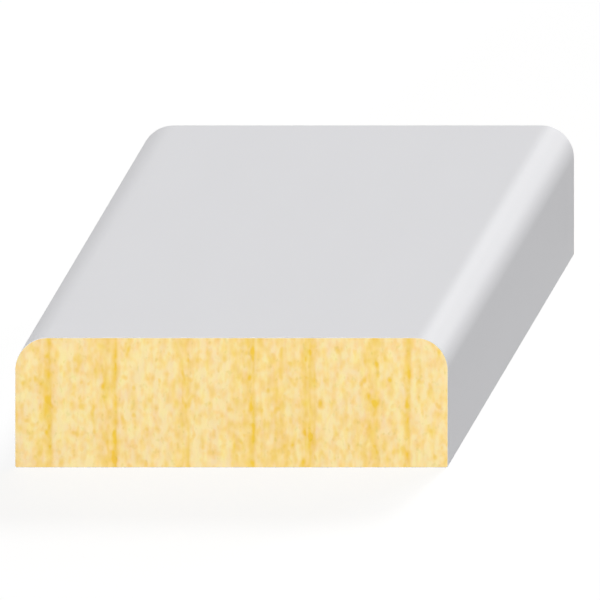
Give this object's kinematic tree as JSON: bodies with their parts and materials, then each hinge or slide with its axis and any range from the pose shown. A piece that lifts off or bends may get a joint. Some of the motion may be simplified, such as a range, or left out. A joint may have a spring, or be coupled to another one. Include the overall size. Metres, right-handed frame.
{
  "type": "door stop moulding",
  "caption": "Short flat length of primed softwood trim, square at the back and rounded on both face edges, fixed to a door frame so that the closed door rests against its edge.",
  "frame": {"origin": "middle of the flat back, which is also the surface the moulding lies on", "axes": "+X across the width, +Y along the grain from the pictured end to the far end, +Z from the back out through the moulded face"},
  "size_m": [0.0318, 0.027, 0.0095],
  "materials": {
    "primed_pine": "smooth grey-white primer on the long faces, bare sawn pine on both ends"
  },
  "bodies": {
    "root": {"door_stop_moulding": "primed_pine"}
  },
  "joints": []
}
